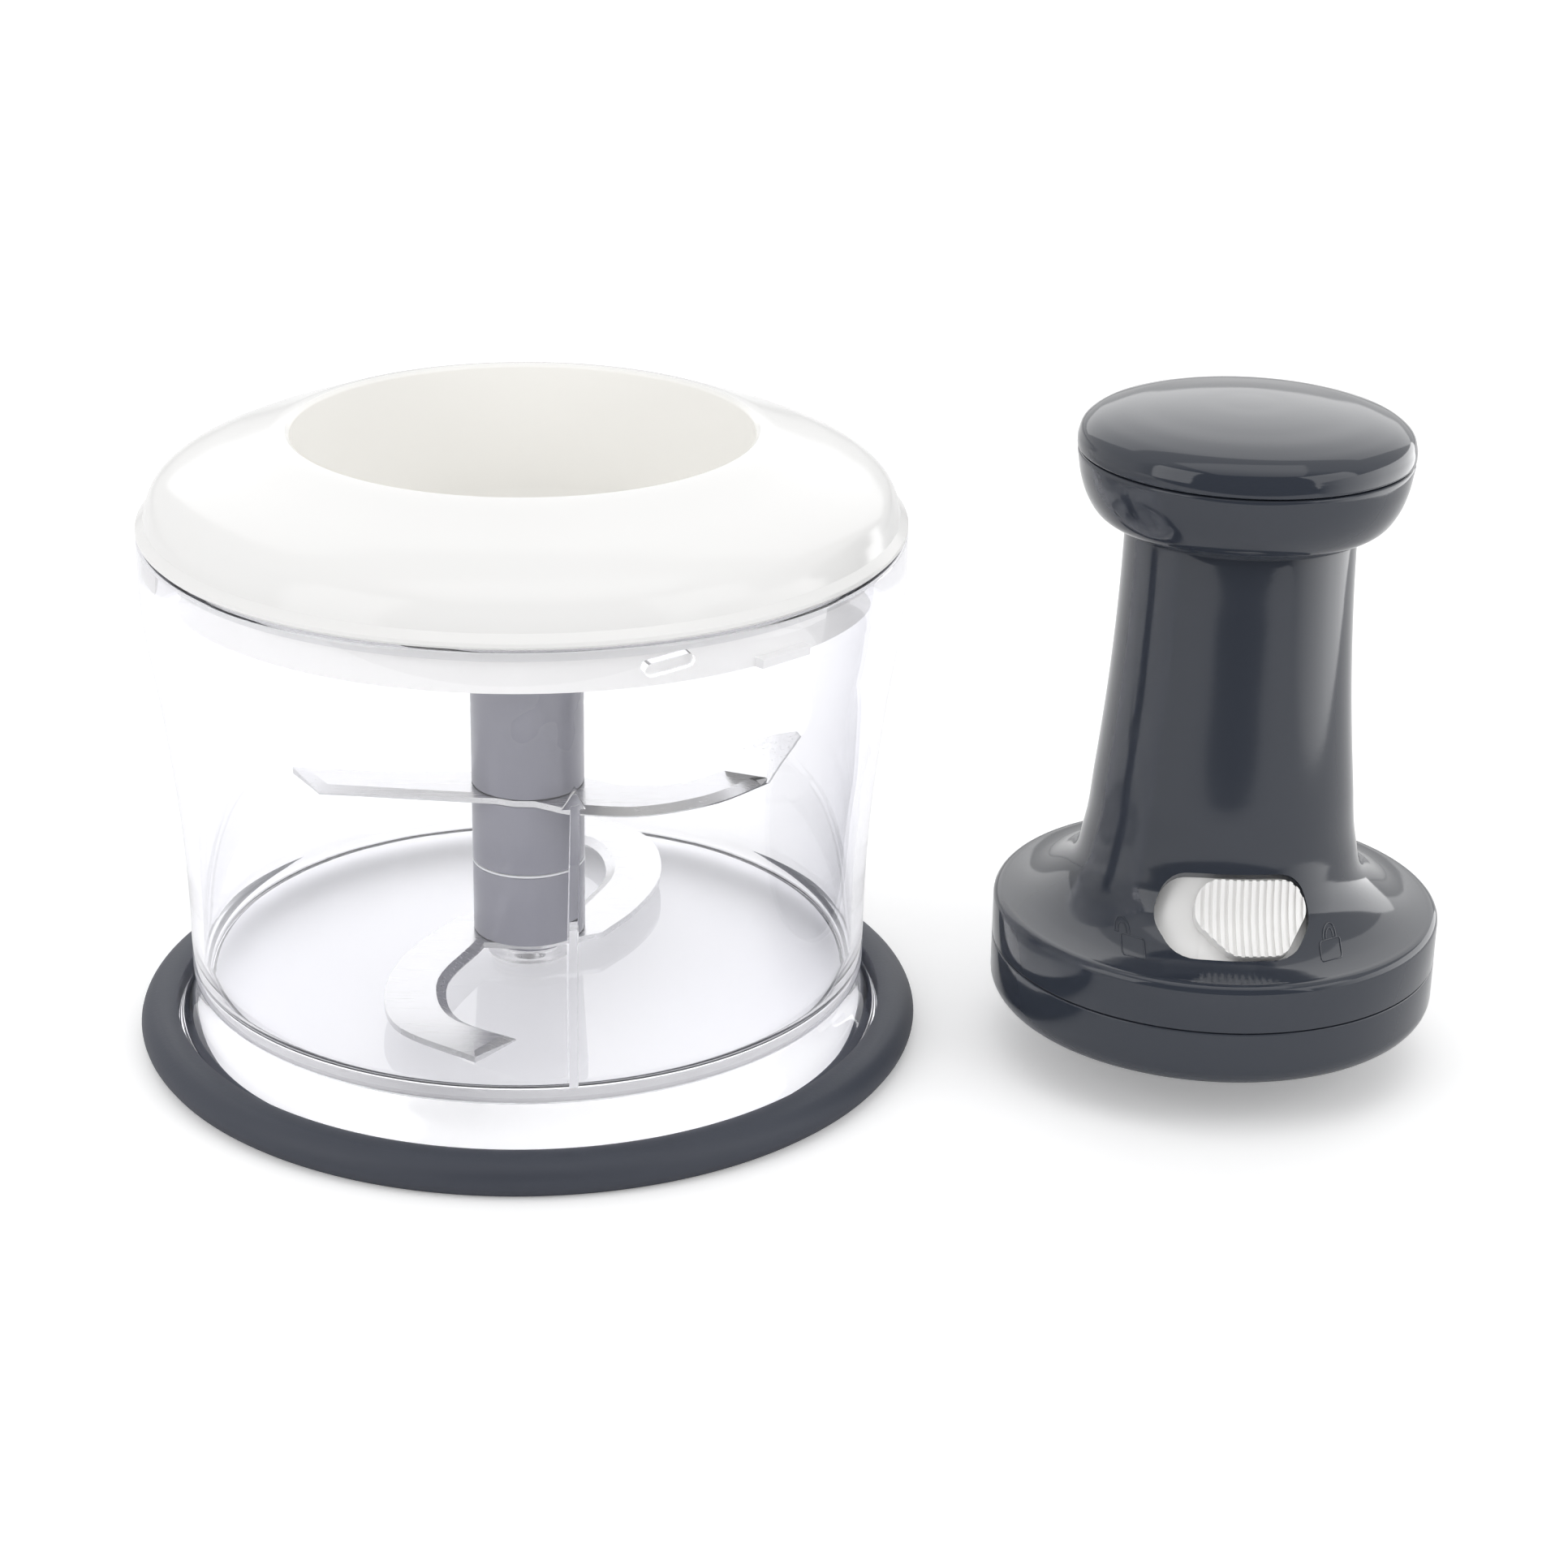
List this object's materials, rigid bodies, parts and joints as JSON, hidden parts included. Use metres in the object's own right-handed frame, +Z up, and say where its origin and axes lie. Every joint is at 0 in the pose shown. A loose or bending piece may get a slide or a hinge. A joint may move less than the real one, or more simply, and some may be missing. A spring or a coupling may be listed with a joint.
{
  "type": "plunger food chopper",
  "caption": "Press-down food chopper set: clear bowl with spinning blades on a hub, grippy foot ring and white bayonet lid, and beside it the plunger head with its knob and lock slider.",
  "frame": {"origin": "on the floor, under the middle of the whole set's bounding box", "axes": "+Z up; +X from the bowl towards the plunger head; -Y towards the side with the lock slider's window"},
  "size_m": [0.2458, 0.148, 0.1265],
  "materials": {
    "clear_plastic": "clear and glossy, faint violet tint at the edges",
    "ring_silicone": "matte slate-grey silicone",
    "slate_gloss": "glossy dark slate grey",
    "slate_hub": "semi-gloss slate grey",
    "white_gloss": "glossy white",
    "white_satin": "satin white",
    "bush_plastic": "natural slippery plastic",
    "spacer_plastic": "pale grey",
    "seal_silicone": "translucent soft silicone",
    "blade_steel": "satin stainless, ground edges",
    "bright_steel": "bright turned stainless",
    "spring_steel": "drawn spring wire"
  },
  "bodies": {
    "bowl": {"bowl": "clear_plastic", "nonslip_ring": "ring_silicone", "pivot_pin": "bright_steel"},
    "blades": {"spindle_core": "slate_hub", "pivot_bush": "bush_plastic", "lower_sleeve": "slate_hub", "hub_spacer": "spacer_plastic", "middle_sleeve": "slate_hub", "upper_sleeve": "slate_hub", "lower_blade": "blade_steel", "upper_blade": "blade_steel"},
    "seal": {"lid_seal": "seal_silicone"},
    "lid": {"lid_shell": "white_gloss", "lid_inner_ring": "white_satin", "lid_bush": "bush_plastic"},
    "head": {"column_housing": "slate_gloss", "base_ring": "slate_gloss", "bottom_cover": "slate_gloss", "base_screws": "bright_steel", "rod_bearing": "bush_plastic", "spring_seat": "bush_plastic", "guide_bush": "bush_plastic", "slider_track": "white_satin", "return_spring": "spring_steel"},
    "plunger": {"knob_skirt": "slate_gloss", "knob_cap": "slate_gloss", "knob_screws": "bright_steel", "piston_tube": "slate_hub", "nut_carrier": "bush_plastic", "helical_nut": "bush_plastic"},
    "drive": {"drive_rod": "bright_steel", "clutch_hub": "bush_plastic", "rod_circlip": "spring_steel"},
    "socket": {"drive_socket": "bush_plastic"},
    "lock": {"lock_slider": "white_gloss", "lock_bolt": "bush_plastic"}
  },
  "joints": [
    {"name": "blade_spin", "type": "hinge", "parent": "bowl", "child": "blades", "pos_m": [-0.04885, 0, 0], "axis": [0, 0, 1], "continuous": true},
    {"name": "lid_lift", "type": "slide", "parent": "bowl", "child": "seal", "axis": [0, 0, 1], "range_m": [0, 0.09]},
    {"name": "lid_turn", "type": "hinge", "parent": "seal", "child": "lid", "pos_m": [-0.04885, 0, 0], "axis": [0, 0, 1], "range_deg": [-20, 0]},
    {"name": "head_lift", "type": "slide", "parent": "bowl", "child": "head", "axis": [0, 0, 1], "range_m": [0, 0.15]},
    {"name": "plunger_slide", "type": "slide", "parent": "head", "child": "plunger", "axis": [0, 0, 1], "range_m": [0, 0.045], "deforming": ["return_spring"]},
    {"name": "rod_spin", "type": "hinge", "parent": "head", "child": "drive", "pos_m": [0.08115, -0.0045, 0], "axis": [0, 0, 1], "range_deg": [-541, 0]},
    {"name": "socket_spin", "type": "hinge", "parent": "head", "child": "socket", "pos_m": [0.08115, -0.0045, 0], "axis": [0, 0, 1], "continuous": true},
    {"name": "lock_turn", "type": "hinge", "parent": "head", "child": "lock", "pos_m": [0.08115, -0.0045, 0], "axis": [0, 0, 1], "range_deg": [-11.6, 0]}
  ],
  "couplings": [
    {"joint": "rod_spin", "follows": "plunger_slide", "rad_per_m": -209.44}
  ]
}
